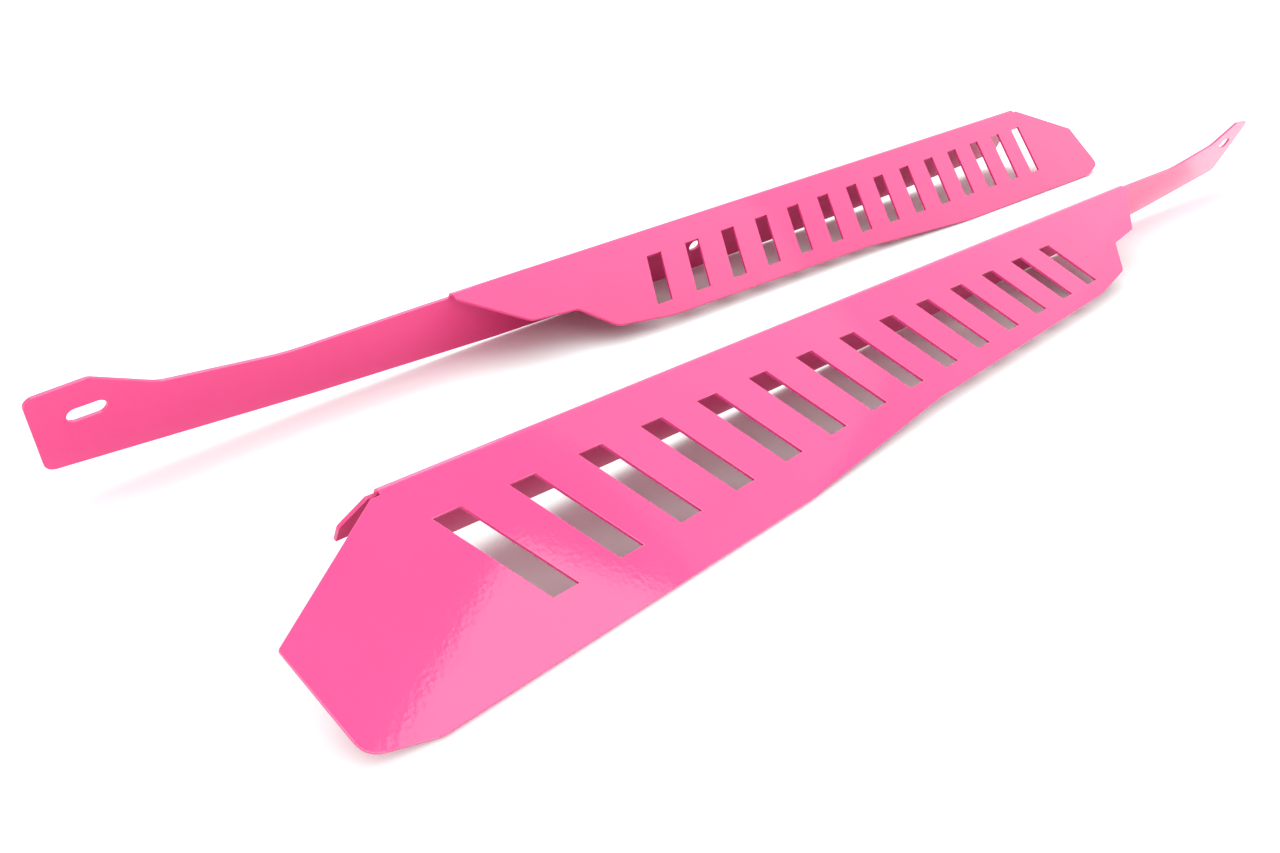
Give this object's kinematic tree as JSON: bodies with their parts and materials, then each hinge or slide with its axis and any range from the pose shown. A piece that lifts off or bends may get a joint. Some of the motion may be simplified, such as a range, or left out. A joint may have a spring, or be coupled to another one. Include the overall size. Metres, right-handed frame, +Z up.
{
  "type": "folded vent panel pair",
  "caption": "Mirrored pair of folded sheet-metal vent panels: slanted slots, a long folded flange and a strap with a slotted mounting ear.",
  "frame": {"origin": "on the surface that the pair stands on, below the centre of the pair's box", "axes": "+X along the left panel's fold towards its wide end, +Z up; both panels stand on their front edge and flange edge"},
  "size_m": [0.7744, 0.2342, 0.05],
  "materials": {
    "left_coat": "gloss powder coat",
    "right_coat": "gloss powder coat"
  },
  "bodies": {
    "root": {"left_panel": "left_coat", "right_panel": "right_coat"}
  },
  "joints": []
}
